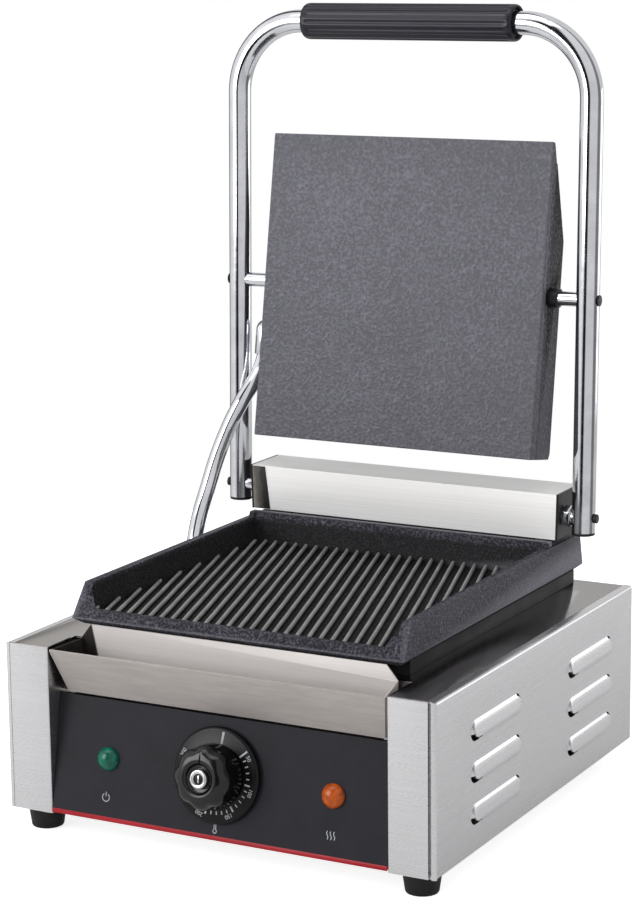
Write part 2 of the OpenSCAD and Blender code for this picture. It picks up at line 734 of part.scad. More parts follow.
module pivot_collar() color([0.1, 0.1, 0.1]) place() plate_frame() at_pin() difference() {
    bar_x(block_x + block_w, half_p + 7, collar_r);
    bar_x(0, big / 2, shaft_r + running);
}

// Depth of the cover's back at a height on the plate, under its slope
function cover_y(z) = cover_top_y
    + (cover_low_y - cover_top_y) * (cover_top_z - z) / (cover_top_z + half_p - 4);

module cover_screws() color("dimgray") place() plate_frame() for (x = cover_screw_x, z = cover_screw_z)
    translate([x, 0, z]) {
        bar_y(iron_web, cover_y(z) + gap, screw_r);
        bar_y(cover_y(z) + 0.1, cover_y(z) + 1.8, 3.6);
    }

// The elbow's throat points down the plate, and the conduit's end stands in it
module conduit_elbow() color("silver") place() plate_frame() translate([0, elbow_y, elbow_z]) difference() {
    union() {
        bar_x(-elbow_x, -half_p, 6.5);
        translate([-elbow_x, 0, 0]) sphere(r = 7.2);
        translate([-elbow_x, 0, -elbow_drop]) cylinder(h = elbow_drop, r = 7.2);
        bar_x(-half_p - 0.1, -half_p + cover_t + 4, 4);
    }
    translate([-elbow_x, 0, -elbow_drop - 1]) cylinder(h = elbow_drop + 1, r = conduit_hole_r);
}

// ---------- Knob ----------

cap_r = 6.2;
cap_depth = 3;
recess_r = 9.6;
module knob_frame() panel_frame() translate([0, 0, knob_z]) children();

module thermostat_stem() color("silver") place() knob_frame() bar_y(-knob_out + 8, 13, stem_r);

module knob_skirt() color([0.08, 0.08, 0.09]) place() knob_frame() difference() {
    union() {
        translate([0, -2, 0]) rotate([90, 0, 0]) cylinder(h = 3, r1 = skirt_d / 2, r2 = skirt_d / 2 - 2);
        bar_y(-7, -4, 13);
    }
    bar_y(-10, 0, stem_r + running);
}

module knob_grip() color([0.06, 0.06, 0.07]) place() knob_frame() difference() {
    translate([0, -7, 0]) rotate([90, 0, 0]) cylinder(h = knob_out - 7, r1 = grip_d / 2 + 1, r2 = grip_d / 2);
    for (i = [0 : 7]) rotate([0, 22.5 + i * 45, 0]) translate([0, 0, grip_d / 2 + 5]) bar_y(-big / 2, big / 2, 7);
    bar_y(-knob_out + 6, 0, stem_r + running);
    bar_y(-knob_out - 1, -knob_out + cap_depth, recess_r);
}

module knob_cap() color("silver") place() knob_frame() difference() {
    bar_y(-knob_out - 0.3, -knob_out + cap_depth, cap_r);
    translate([-1.1, -knob_out - 1, -3.6]) cube([2.2, 2, 7.2]);
}

base_pan();
side_panel(-1);  // side_panel_left
side_panel(1);  // side_panel_right
top_deck();
rear_panel();
control_panel();
panel_overlay();
trim_strip();
tray_rails();
foot(-1, front_foot);  // foot_front_left
foot(1, front_foot);  // foot_front_right
foot(-1, rear_foot);  // foot_rear_left
foot(1, rear_foot);  // foot_rear_right
foot_screws();
support_skirt();
lower_plate();
lower_element();
lower_clamp();
lower_insulation();
lower_studs();
hinge_box();
hinge_box_caps();
hinge_brackets();
shaft_bushes();
torsion_spring(-1);  // torsion_spring_left
torsion_spring(1);  // torsion_spring_right
thermostat_body();
thermostat_bulb();
lens(-1, [0.05, 0.42, 0.29]);  // green_lens
lens(1, [0.75, 0.38, 0.16]);  // amber_lens
lamp_holders();
terminal_block();
mains_gland();
conduit_gland();
conduit();
panel_screws();
hinge_box_screws();
drip_tray();
handle_tube();
handle_grip();
leg_plugs();
hinge_shaft();
shaft_screws();
shaft_collar();
spring_carriers();
pivot_pins();
pin_screws();
upper_plate();
upper_cover();
upper_element();
upper_clamp();
upper_insulation();
pivot_blocks();
pivot_collar();
cover_screws();
conduit_elbow();
thermostat_stem();
knob_skirt();
knob_grip();
knob_cap();
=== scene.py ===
"""Looks of a panini press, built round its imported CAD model, in metres and in the model's frame."""

import json
import math

import bmesh
import bpy
from mathutils import Matrix, Vector


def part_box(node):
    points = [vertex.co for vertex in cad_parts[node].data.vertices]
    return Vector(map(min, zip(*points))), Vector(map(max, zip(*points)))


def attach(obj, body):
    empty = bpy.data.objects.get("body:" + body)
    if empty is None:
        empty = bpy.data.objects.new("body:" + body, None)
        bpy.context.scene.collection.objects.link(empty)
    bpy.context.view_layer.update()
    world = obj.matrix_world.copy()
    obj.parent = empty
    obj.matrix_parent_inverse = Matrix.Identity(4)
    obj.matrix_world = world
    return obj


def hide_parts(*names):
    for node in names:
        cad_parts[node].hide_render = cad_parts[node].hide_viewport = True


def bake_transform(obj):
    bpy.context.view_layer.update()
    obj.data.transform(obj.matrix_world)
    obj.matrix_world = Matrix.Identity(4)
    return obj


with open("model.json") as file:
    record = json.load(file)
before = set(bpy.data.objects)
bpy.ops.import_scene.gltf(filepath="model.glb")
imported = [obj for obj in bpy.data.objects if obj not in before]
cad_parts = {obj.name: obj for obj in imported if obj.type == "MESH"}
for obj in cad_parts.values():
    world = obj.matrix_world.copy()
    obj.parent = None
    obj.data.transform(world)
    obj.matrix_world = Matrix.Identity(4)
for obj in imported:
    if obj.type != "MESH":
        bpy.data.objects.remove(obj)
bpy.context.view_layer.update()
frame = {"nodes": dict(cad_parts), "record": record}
NODES = frame["nodes"]
BODY_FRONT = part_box("side_panel_left")[0].y
TURN = math.radians


# ---------- Camera, light and floor ----------


# The room's brightness by height, from straight down (0) to straight up (1), and by the angle round the
# press in degrees: 0 is in front of it and 90 on its right.
SKY = ((0.0, 0.35), (0.3, 0.6), (0.5, 0.85), (1.0, 0.95))
FLAGS = (
    (-180, 0.9), (-142, 0.9), (-134, 0.06), (-114, 0.06), (-106, 1.0), (-60, 1.3), (-35, 1.3),
    (-25, 0.75), (-17, 0.02), (3, 0.02), (10, 1.0), (80, 1.0), (90, 0.3), (112, 0.3), (122, 0.95),
    (180, 0.9),
)
CAMERA_PLACE = (0.80914, -1.507438, 0.58328)
CAMERA_TURN = (28.39, 11.37, -0.63)  # azimuth, elevation and roll, in degrees
CAMERA_LENS = 105.18
FLOOR_RADIUS = 0.9


def make_camera():
    """The photo's camera, as solved from the straight edges of the press."""
    azimuth, elevation, roll = (TURN(angle) for angle in CAMERA_TURN)
    back = Vector(
        (
            math.sin(azimuth) * math.cos(elevation),
            -math.cos(azimuth) * math.cos(elevation),
            math.sin(elevation),
        )
    )
    level = Vector((0, 0, 1)).cross(back).normalized()
    upright = back.cross(level)
    right = math.cos(roll) * level + math.sin(roll) * upright
    up = math.cos(roll) * upright - math.sin(roll) * level
    data = bpy.data.cameras.new("camera")
    data.sensor_fit = "AUTO"
    data.sensor_width = 36.0
    data.lens = CAMERA_LENS
    data.clip_start, data.clip_end = 0.05, 200.0
    camera = bpy.data.objects.new("camera", data)
    bpy.context.scene.collection.objects.link(camera)
    turn = Matrix((right, up, back)).transposed().to_4x4()
    camera.matrix_world = Matrix.Translation(CAMERA_PLACE) @ turn
    bpy.context.scene.camera = camera


def area_light(name, place, target, size, power):
    """A square soft light at a place, turned to a target."""
    data = bpy.data.lights.new(name, "AREA")
    data.size = size
    data.energy = power
    light = bpy.data.objects.new(name, data)
    bpy.context.scene.collection.objects.link(light)
    away = (Vector(place) - Vector(target)).normalized()
    light.rotation_mode = "QUATERNION"
    light.rotation_quaternion = away.to_track_quat("Z", "Y")
    light.location = place


def make_world():
    """A white room for the camera, and for light and reflections a soft sky with dark flags round it."""
    world = bpy.data.worlds.new("studio")
    bpy.context.scene.world = world
    world.use_nodes = True
    tree = world.node_tree
    tree.nodes.clear()
    out = tree.nodes.new("ShaderNodeOutputWorld")
    seen = tree.nodes.new("ShaderNodeBackground")
    seen.inputs["Color"].default_value = (1, 1, 1, 1)
    lit = tree.nodes.new("ShaderNodeBackground")
    place = tree.nodes.new("ShaderNodeTexCoord")
    split = tree.nodes.new("ShaderNodeSeparateXYZ")
    tree.links.new(place.outputs["Generated"], split.inputs[0])
    height = spread(tree, split.outputs["Z"], 0.0, 1.0, -1.0, 1.0)
    sky = ramp(tree, height, [(position, grey(value)) for position, value in SKY])
    ahead = math_node(tree, "MULTIPLY", split.outputs["Y"], -1.0)
    turn = math_node(tree, "ARCTAN2", split.outputs["X"], ahead)
    round_share = spread(tree, turn, 0.0, 1.0, -math.pi, math.pi)
    flags = ramp(tree, round_share, [((degrees + 180) / 360, grey(value)) for degrees, value in FLAGS])
    both = tree.nodes.new("ShaderNodeMix")
    both.data_type = "RGBA"
    both.blend_type = "MULTIPLY"
    both.inputs["Factor"].default_value = 1.0
    tree.links.new(sky, both.inputs[6])
    tree.links.new(flags, both.inputs[7])
    tree.links.new(both.outputs[2], lit.inputs["Color"])
    path = tree.nodes.new("ShaderNodeLightPath")
    mix = tree.nodes.new("ShaderNodeMixShader")
    tree.links.new(path.outputs["Is Camera Ray"], mix.inputs["Fac"])
    tree.links.new(lit.outputs[0], mix.inputs[1])
    tree.links.new(seen.outputs[0], mix.inputs[2])
    tree.links.new(mix.outputs[0], out.inputs["Surface"])


def make_floor():
    """A pale round floor with a soft shadow, that ends out of sight against the white room."""
    mesh = bpy.data.meshes.new("floor")
    shape = bmesh.new()
    bmesh.ops.create_circle(shape, cap_ends=True, segments=96, radius=FLOOR_RADIUS)
    shape.to_mesh(mesh)
    shape.free()
    floor = bpy.data.objects.new("floor", mesh)
    bpy.context.scene.collection.objects.link(floor)
    floor.location.z = -0.0002
    material, tree, shader = new_material("floor_white")
    shader.inputs["Base Color"].default_value = (0.62, 0.62, 0.62, 1)
    shader.inputs["Roughness"].default_value = 0.8
    shader.inputs["Emission Color"].default_value = (1, 1, 1, 1)
    path = tree.nodes.new("ShaderNodeLightPath")
    glow = spread(tree, path.outputs["Is Camera Ray"], 0.18, 0.8, 0.0, 1.0)
    tree.links.new(glow, shader.inputs["Emission Strength"])
    mesh.materials.append(material)


def make_studio():
    """The room, its lights and its floor."""
    scene = bpy.context.scene
    scene.view_settings.view_transform = "Standard"
    scene.view_settings.look = "None"
    make_world()
    area_light("key", (-1.0, -1.5, 0.75), (0, 0, 0.15), 1.1, 17)
    area_light("side", (0.85, 1.0, 0.3), (0.15, -0.1, 0.1), 0.5, 1.3)
    area_light("top", (-0.3, -0.5, 2.0), (0, 0, 0.2), 1.2, 7)
    make_floor()


# ---------- Shader helpers ----------


def srgb(code):
    """A linear colour from a hexadecimal one."""
    parts = [int(code[i : i + 2], 16) / 255 for i in (0, 2, 4)]
    return [p / 12.92 if p <= 0.04045 else ((p + 0.055) / 1.055) ** 2.4 for p in parts] + [1.0]


def new_material(name):
    material = bpy.data.materials.new(name)
    material.use_nodes = True
    return material, material.node_tree, material.node_tree.nodes["Principled BSDF"]


def axes(tree):
    """The object's own X, Y and Z, as three values."""
    place = tree.nodes.new("ShaderNodeTexCoord")
    split = tree.nodes.new("ShaderNodeSeparateXYZ")
    tree.links.new(place.outputs["Object"], split.inputs[0])
    return split.outputs


def coordinates(tree, scale=(1, 1, 1)):
    """Object coordinates, stretched along each axis."""
    place = tree.nodes.new("ShaderNodeTexCoord")
    mapping = tree.nodes.new("ShaderNodeMapping")
    mapping.inputs["Scale"].default_value = scale
    tree.links.new(place.outputs["Object"], mapping.inputs["Vector"])
    return mapping.outputs["Vector"]


def noise(tree, vector, scale, detail, roughness):
    node = tree.nodes.new("ShaderNodeTexNoise")
    node.inputs["Scale"].default_value = scale
    node.inputs["Detail"].default_value = detail
    node.inputs["Roughness"].default_value = roughness
    tree.links.new(vector, node.inputs["Vector"])
    return node.outputs["Fac"]


def cells(tree, vector, scale):
    node = tree.nodes.new("ShaderNodeTexVoronoi")
    node.feature = "SMOOTH_F1"
    node.inputs["Scale"].default_value = scale
    tree.links.new(vector, node.inputs["Vector"])
    return node.outputs["Distance"]


def ramp(tree, fac, stops):
    """A colour or grey from a value, by (position, colour) stops."""
    node = tree.nodes.new("ShaderNodeValToRGB")
    elements = node.color_ramp.elements
    while len(elements) > 1:
        elements.remove(elements[-1])
    elements[0].position, elements[0].color = stops[0]
    for position, colour in stops[1:]:
        elements.new(position).color = colour
    tree.links.new(fac, node.inputs["Fac"])
    return node.outputs["Color"]


def tones(tree, fac, dark, light):
    """A colour between two hexadecimal ones, from the middle of a value's range."""
    return ramp(tree, fac, [(0.3, srgb(dark)), (0.7, srgb(light))])


def grey(value):
    return (value, value, value, 1.0)


def spread(tree, fac, low, high, start=0.3, end=0.7):
    """A value that runs from low to high while another runs from start to end."""
    node = tree.nodes.new("ShaderNodeMapRange")
    node.inputs["From Min"].default_value = start
    node.inputs["From Max"].default_value = end
    node.inputs["To Min"].default_value = low
    node.inputs["To Max"].default_value = high
    tree.links.new(fac, node.inputs["Value"])
    return node.outputs["Result"]


def math_node(tree, operation, a, b):
    """One step of arithmetic on two values, each a socket or a number."""
    node = tree.nodes.new("ShaderNodeMath")
    node.operation = operation
    for socket, value in ((node.inputs[0], a), (node.inputs[1], b)):
        if isinstance(value, bpy.types.NodeSocket):
            tree.links.new(value, socket)
        else:
            socket.default_value = value
    return node.outputs[0]


def added(tree, a, b, share):
    """One value plus a share of another."""
    node = tree.nodes.new("ShaderNodeMath")
    node.operation = "MULTIPLY_ADD"
    tree.links.new(b, node.inputs[0])
    node.inputs[1].default_value = share
    tree.links.new(a, node.inputs[2])
    return node.outputs[0]


def mixed(tree, fac, a, b):
    """Mixes two colours, each a socket or a plain colour."""
    node = tree.nodes.new("ShaderNodeMix")
    node.data_type = "RGBA"
    tree.links.new(fac, node.inputs["Factor"])
    for socket, value in ((node.inputs[6], a), (node.inputs[7], b)):
        if isinstance(value, bpy.types.NodeSocket):
            tree.links.new(value, socket)
        else:
            socket.default_value = value
    return node.outputs[2]


def bump(tree, shader, height, strength, distance):
    node = tree.nodes.new("ShaderNodeBump")
    node.inputs["Strength"].default_value = strength
    node.inputs["Distance"].default_value = distance
    tree.links.new(height, node.inputs["Height"])
    tree.links.new(node.outputs["Normal"], shader.inputs["Normal"])


def edge_wear(tree):
    """One on sharp outer edges, from the mesh's own shape."""
    node = tree.nodes.new("ShaderNodeNewGeometry")
    return spread(tree, node.outputs["Pointiness"], 0.0, 1.0, 0.53, 0.6)


# ---------- Materials ----------


def brushed_steel(name, across, low, high, tone, polish=1.0, streak=0.14):
    """Satin stainless steel, with fine brush lines that change fast across some axes, and faint smudges."""
    material, tree, shader = new_material(name)
    stretch = [2600.0 if axis in across else 4.0 for axis in "xyz"]
    grain = noise(tree, coordinates(tree, stretch), 1.0, 4.0, 0.6)
    smudge = noise(tree, coordinates(tree), 14.0, 3.0, 0.55)
    bright = srgb(tone)
    dull = [part * (1.0 - streak) for part in bright[:3]] + [1.0]
    tree.links.new(ramp(tree, grain, [(0.3, dull), (0.7, bright)]), shader.inputs["Base Color"])
    shader.inputs["Metallic"].default_value = polish
    both = added(tree, grain, smudge, 0.45)
    tree.links.new(spread(tree, both, low, high, 0.45, 0.95), shader.inputs["Roughness"])
    bump(tree, shader, grain, streak, 0.00003)
    return material


def tray_steel(name):
    """The tray's brushed steel, with a darker painted shade on its lip, which faces the dark floor, and
    near-black painted shade in its left corner, where the tray's end lies in shadow.
    """
    material = brushed_steel(name, "yz", 0.5, 0.62, "D2CDCB", 0.55)
    tree = material.node_tree
    shader = tree.nodes["Principled BSDF"]
    own = axes(tree)
    from_left = added(tree, own["X"], own["Z"], 0.218)
    corner = spread(tree, from_left, 1.0, 0.0, -0.0778, -0.0766)
    from_lip = added(tree, own["Y"], own["Z"], 0.411)
    behind_lip = spread(tree, from_lip, 0.0, 1.0, BODY_FRONT + 0.0526, BODY_FRONT + 0.0531)
    # Painted shade: near-black colour in the tray's left corner behind the lip, where its end lies in
    # shadow.
    corner_shade_mask = math_node(tree, "MULTIPLY", corner, behind_lip)
    steel = shader.inputs["Base Color"].links[0].from_socket
    patches = noise(tree, coordinates(tree), 160.0, 4.0, 0.6)
    corner_shade = tones(tree, patches, "0E0B0A", "2B2521")
    # Painted shade: the lip, which faces the dark floor, gets a darker steel tone than the wall behind it.
    lip_grain = noise(tree, coordinates(tree, (0.1, 1, 1)), 420.0, 4.0, 0.6)
    lip_shade = tones(tree, lip_grain, "A49E9B", "B0AAA6")
    colour = mixed(tree, corner_shade_mask, mixed(tree, behind_lip, lip_shade, steel), corner_shade)
    tree.links.new(colour, shader.inputs["Base Color"])
    return material


def end_shade(name):
    """Painted shade for the strip at the hinge box's end: dark at the end, fading to grey at its edge."""
    material, tree, shader = new_material(name)
    own = axes(tree)
    across = added(tree, own["X"], own["Z"], 0.11)
    shade_mottle = noise(tree, coordinates(tree), 220.0, 3.0, 0.6)
    fade = added(tree, spread(tree, across, 0.0, 1.0, -0.099, -0.0885), shade_mottle, 0.3)
    # Painted shade: dark at the box's end, fading to grey away from it.
    colour = ramp(tree, fade, [(0.15, srgb("8A867E")), (0.5, srgb("5A5651")), (0.95, srgb("211F20"))])
    tree.links.new(colour, shader.inputs["Base Color"])
    tree.links.new(spread(tree, shade_mottle, 0.4, 0.55), shader.inputs["Roughness"])
    shader.inputs["Metallic"].default_value = 0.4
    bump(tree, shader, shade_mottle, 0.1, 0.0002)
    return material


def chrome(name):
    """Chromed tube and bright screws, with a faint haze."""
    material, tree, shader = new_material(name)
    haze = noise(tree, coordinates(tree), 60.0, 4.0, 0.6)
    tree.links.new(tones(tree, haze, "C8C9CE", "DCDDE1"), shader.inputs["Base Color"])
    shader.inputs["Metallic"].default_value = 1.0
    tree.links.new(spread(tree, haze, 0.05, 0.14), shader.inputs["Roughness"])
    return material


def inside_hollow(tree):
    """One inside the lower plate's hollow, nought on its rims and outer faces: where painted shade goes."""
    own = axes(tree)
    sideways = math_node(tree, "ABSOLUTE", own["X"], 0.0)
    between_sides = spread(tree, sideways, 1.0, 0.0, 0.1121, 0.1127)
    past_lip = spread(tree, own["Y"], 0.0, 1.0, BODY_FRONT + 0.0352, BODY_FRONT + 0.0362)
    before_wall = spread(tree, own["Y"], 1.0, 0.0, BODY_FRONT + 0.2546, BODY_FRONT + 0.2552)
    lengthways = math_node(tree, "MULTIPLY", past_lip, before_wall)
    return math_node(tree, "MULTIPLY", between_sides, lengthways)


def cast_iron(name, dark, light, grain, strength, hollow=False):
    """Seasoned cast iron: a sandy, softly mottled skin, lighter on its sharp edges. With hollow set,
    painted shade darkens the hollow between the ribs.
    """
    material, tree, shader = new_material(name)
    vector = coordinates(tree)
    fine = noise(tree, vector, 900.0 * grain, 1.5, 0.5)
    sand = cells(tree, vector, 620.0 * grain)
    broad = noise(tree, vector, 13.0, 3.0, 0.55)
    skin = added(tree, fine, sand, 0.3)
    mottle = spread(tree, added(tree, skin, broad, 0.3), 0.0, 1.0, 0.7, 1.12)
    colour = ramp(tree, mottle, [(0.0, srgb(dark)), (1.0, srgb(light))])
    if hollow:
        # Painted shade: near-black colour over the hollow between the ribs.
        hollow_shade = tones(tree, fine, "0B0B0D", "1B1B1F")
        colour = mixed(tree, inside_hollow(tree), colour, hollow_shade)
    tree.links.new(mixed(tree, edge_wear(tree), colour, srgb("7C7C84")), shader.inputs["Base Color"])
    shader.inputs["Metallic"].default_value = 0.12
    shader.inputs["Specular IOR Level"].default_value = 0.3
    tree.links.new(spread(tree, mottle, 0.8, 0.42, 0.0, 1.0), shader.inputs["Roughness"])
    bump(tree, shader, added(tree, skin, broad, 0.5), strength, 0.0012)
    return material


def rib_iron(name):
    """The ribs' iron, with painted shade: near black down the sides into the grooves; and a painted
    highlight: light grey along the round tops.
    """
    material, tree, shader = new_material(name)
    vector = coordinates(tree)
    fine = noise(tree, vector, 900.0, 3.0, 0.6)
    broad = noise(tree, vector, 60.0, 4.0, 0.6)
    shoulder, top = 0.1446, 0.1452
    near_top = spread(tree, axes(tree)["Z"], 0.0, 1.0, shoulder, top)
    # Painted shade below the shoulder, and a painted highlight above it.
    hollow_shade = tones(tree, fine, "0C0C0E", "19191C")
    top_highlight = tones(tree, broad, "868684", "A3A3A0")
    tree.links.new(mixed(tree, near_top, hollow_shade, top_highlight), shader.inputs["Base Color"])
    shader.inputs["Metallic"].default_value = 0.3
    tree.links.new(spread(tree, broad, 0.4, 0.55), shader.inputs["Roughness"])
    bump(tree, shader, fine, 0.4, 0.0003)
    return material


def plastic(name, dark, light, low, high, grain=700.0, strength=0.15, coat=0.0, shine=0.3):
    """Moulded plastic or rubber with a fine texture and uneven sheen."""
    material, tree, shader = new_material(name)
    vector = coordinates(tree)
    fine = noise(tree, vector, grain, 2.0, 0.5)
    broad = noise(tree, vector, 40.0, 4.0, 0.6)
    tree.links.new(tones(tree, broad, dark, light), shader.inputs["Base Color"])
    tree.links.new(spread(tree, broad, low, high), shader.inputs["Roughness"])
    shader.inputs["Coat Weight"].default_value = coat
    shader.inputs["Coat Roughness"].default_value = 0.08
    shader.inputs["Specular IOR Level"].default_value = shine
    bump(tree, shader, fine, strength, 0.0001)
    return material


def tinted_lens(name, dark, light, glow):
    """Coloured clear plastic, polished, with faint cloudiness."""
    material, tree, shader = new_material(name)
    vector = coordinates(tree)
    cloud = noise(tree, vector, 260.0, 2.0, 0.5)
    colour = tones(tree, cloud, dark, light)
    tree.links.new(colour, shader.inputs["Base Color"])
    tree.links.new(colour, shader.inputs["Emission Color"])
    shader.inputs["Emission Strength"].default_value = glow
    tree.links.new(spread(tree, cloud, 0.1, 0.2), shader.inputs["Roughness"])
    shader.inputs["Specular IOR Level"].default_value = 0.25
    shader.inputs["Coat Weight"].default_value = 0.15
    shader.inputs["Coat Roughness"].default_value = 0.05
    bump(tree, shader, cloud, 0.04, 0.0002)
    return material


def metal(name, dark, light, low, high):
    """Plain worked metal: zinc plate, heater sheath or brass."""
    material, tree, shader = new_material(name)
    broad = noise(tree, coordinates(tree), 90.0, 5.0, 0.6)
    tree.links.new(tones(tree, broad, dark, light), shader.inputs["Base Color"])
    shader.inputs["Metallic"].default_value = 1.0
    tree.links.new(spread(tree, broad, low, high), shader.inputs["Roughness"])
    bump(tree, shader, broad, 0.1, 0.0002)
    return material


MATERIALS = {
    "steel_side": brushed_steel("steel_side", "z", 0.24, 0.32, "D3D2D4", streak=0.07),
    "steel_front": brushed_steel("steel_front", "z", 0.26, 0.4, "D8D7D8"),
    "steel_deck": brushed_steel("steel_deck", "y", 0.12, 0.22, "A8A4A1"),
    "steel_tray": brushed_steel("steel_tray", "yz", 0.46, 0.58, "CFCAC8"),
    "tray_steel": tray_steel("tray_steel"),
    "end_shade": end_shade("end_shade"),
    "steel_box": brushed_steel("steel_box", "yz", 0.45, 0.55, "FAF9F8", 0.2),
    "panel_steel": brushed_steel("panel_steel", "z", 0.4, 0.5, "707074"),
    "panel_print": plastic("panel_print", "1C1C21", "24232A", 0.42, 0.54, 1600.0, 0.25, shine=0.16),
    "trim_red": plastic("trim_red", "8C0A16", "A0101E", 0.32, 0.4),
    "rubber": plastic("rubber", "0A0A0B", "121213", 0.5, 0.65, 900.0, 0.4),
    "zinc": metal("zinc", "8C8C90", "B0B0B4", 0.28, 0.42),
    "skirt_black": plastic("skirt_black", "1B1B1E", "242428", 0.5, 0.62, 900.0, 0.4),
    "cast_iron": cast_iron("cast_iron", "222127", "5A5864", 0.8, 0.8, hollow=True),
    "press_iron": cast_iron("press_iron", "060508", "6A6674", 0.58, 1.0),
    "rib_iron": rib_iron("rib_iron"),
    "print_white": plastic("print_white", "9DA0A3", "B4B7BA", 0.5, 0.6),
    "print_black": plastic("print_black", "08080A", "0D0D0F", 0.4, 0.5),
    "cover_iron": cast_iron("cover_iron", "0C0C0E", "48484C", 0.7, 0.8),
    "heater": metal("heater", "3A3A3D", "5A5A5E", 0.4, 0.6),
    "insulation": plastic("insulation", "B7AC97", "D2C8B4", 0.85, 0.95, 500.0, 0.9),
    "brass": metal("brass", "A8823E", "C9A35A", 0.25, 0.4),
    "cream_plastic": plastic("cream_plastic", "CFC8B4", "DDD7C6", 0.45, 0.55),
    "lens_green": tinted_lens("lens_green", "004033", "00624E", 0.03),
    "lens_amber": tinted_lens("lens_amber", "8A3606", "B85310", 0.05),
    "black_plastic": plastic("black_plastic", "131314", "1C1C1E", 0.35, 0.45),
    "chrome": chrome("chrome"),
    "grip_black": plastic("grip_black", "17151F", "1F1D29", 0.26, 0.36, 700.0, 0.05, 0.0, 0.34),
    "knob_black": plastic("knob_black", "050506", "0A0A0B", 0.2, 0.3, 700.0, 0.05, 0.0, 0.2),
    "knob_gloss": plastic("knob_gloss", "040405", "09090A", 0.16, 0.24, 700.0, 0.03, 0.25, 0.3),
    "knob_cap": metal("knob_cap", "B5B5B8", "DADADC", 0.18, 0.3),
}

# The material of each record slot, and the CAD nodes that wear another one.
WEAR = {
    "stainless": "steel_side",
    "panel_steel": "panel_steel",
    "panel_print": "panel_print",
    "trim_red": "trim_red",
    "rubber": "rubber",
    "zinc_steel": "zinc",
    "skirt_black": "skirt_black",
    "cast_iron": "cast_iron",
    "cover_iron": "cover_iron",
    "heater_steel": "heater",
    "insulation": "insulation",
    "brass": "brass",
    "thermostat_plastic": "cream_plastic",
    "lens_green": "lens_green",
    "lens_amber": "lens_amber",
    "black_plastic": "black_plastic",
    "chrome": "chrome",
    "grip_black": "grip_black",
    "knob_black": "knob_black",
    "knob_cap": "knob_cap",
}
SPECIAL = {
    "top_deck": "steel_deck",
    "drip_tray": "tray_steel",
    "tray_rails": "steel_tray",
    "hinge_box": "steel_box",
    "rear_panel": "steel_front",
    "base_pan": "steel_deck",
    "upper_plate": "press_iron",
}


def soften(node, width):
    """Rounds a CAD node's edges with modifiers and shades it smooth between them."""
    piece = NODES[node]
    weld = piece.modifiers.new("weld", "WELD")
    weld.merge_threshold = 0.000004
    flat = piece.modifiers.new("flat", "DECIMATE")
    flat.decimate_type = "DISSOLVE"
    flat.angle_limit = TURN(0.5)
    edge = piece.modifiers.new("edge", "BEVEL")
    edge.width = width
    edge.segments = 2
    edge.limit_method = "ANGLE"
    edge.angle_limit = TURN(28)
    edge.harden_normals = True
    edge.use_clamp_overlap = True
    piece.data.polygons.foreach_set("use_smooth", [True] * len(piece.data.polygons))


def dress_nodes():
    """Gives every CAD node the material of its record slot, or its own."""
    slots = {p["node"]: p["material_slot"] for p in frame["record"]["subparts"]}
    for name, piece in NODES.items():
        key = SPECIAL.get(name) or WEAR[slots[name]]
        piece.data.materials.clear()
        piece.data.materials.append(MATERIALS[key])


# ---------- Mesh helpers ----------


def at(x, y, z):
    """A point from millimetres: from the middle, back from the body's front, and up from the table."""
    return Vector((x / 1000, BODY_FRONT + y / 1000, z / 1000))


def object_from(name, shape):
    """A bmesh as an object in the scene."""
    mesh = bpy.data.meshes.new(name)
    shape.to_mesh(mesh)
    shape.free()
    piece = bpy.data.objects.new(name, mesh)
    bpy.context.scene.collection.objects.link(piece)
    return piece


def loose(name, shape):
    """A bmesh with its faces turned outwards, as an object that isn't a piece yet."""
    bmesh.ops.recalc_face_normals(shape, faces=shape.faces)
    return object_from(name, shape)


def piece_from(name, shape, body, key, nodes=(), smooth=30):
    """Makes a bmesh into a piece."""
    piece = loose(name, shape)
    finish_piece(piece, body, key, nodes, smooth)
    return piece


def finish_piece(piece, body, key, nodes=(), smooth=30):
    """Gives an object its material, lets it ride on a body and stand for CAD nodes."""
    mesh = piece.data
    mesh.materials.clear()
    mesh.materials.append(MATERIALS[key])
    mesh.polygons.foreach_set("use_smooth", [True] * len(mesh.polygons))
    mesh.set_sharp_from_angle(angle=TURN(smooth))
    if body:
        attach(piece, body)
    if nodes:
        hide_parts(*nodes)


def applied(piece):
    """Puts a piece's modifiers into its mesh."""
    graph = bpy.context.evaluated_depsgraph_get()
    graph.update()
    mesh = bpy.data.meshes.new_from_object(piece.evaluated_get(graph))
    piece.modifiers.clear()
    piece.data = mesh
    return piece


def join(whole, part):
    """Adds one bmesh to another."""
    mesh = bpy.data.meshes.new("part")
    part.to_mesh(mesh)
    part.free()
    whole.from_mesh(mesh)
    bpy.data.meshes.remove(mesh)


def prism(near, far):
    """A solid between two outlines of the same number of points."""
    shape = bmesh.new()
    rings = [[shape.verts.new(p) for p in outline] for outline in (near, far)]
    shape.faces.new(rings[0])
    shape.faces.new(rings[1])
    bridge(shape, rings[0], rings[1], closed=True)
    return shape


def bridge(shape, a, b, closed=False):
    """Faces between two rows of vertices."""
    for i in range(len(a) if closed else len(a) - 1):
        shape.faces.new((a[i], a[(i + 1) % len(a)], b[(i + 1) % len(a)], b[i]))


def loft(shape, rows):
    """A closed skin over rows of vertices."""
    for a, b in zip(rows, rows[1:]):
        bridge(shape, a, b, closed=True)
    shape.faces.new(rows[0])
    shape.faces.new(rows[-1])


def prism_x(x0, x1, points):
    """A solid from one side to the other, with an outline of (back, up) points."""
    return prism([at(x0, y, z) for y, z in points], [at(x1, y, z) for y, z in points])


def prism_y(y0, y1, points):
    """A solid from the front back, with an outline of (across, up) points."""
    return prism([at(x, y0, z) for x, z in points], [at(x, y1, z) for x, z in points])


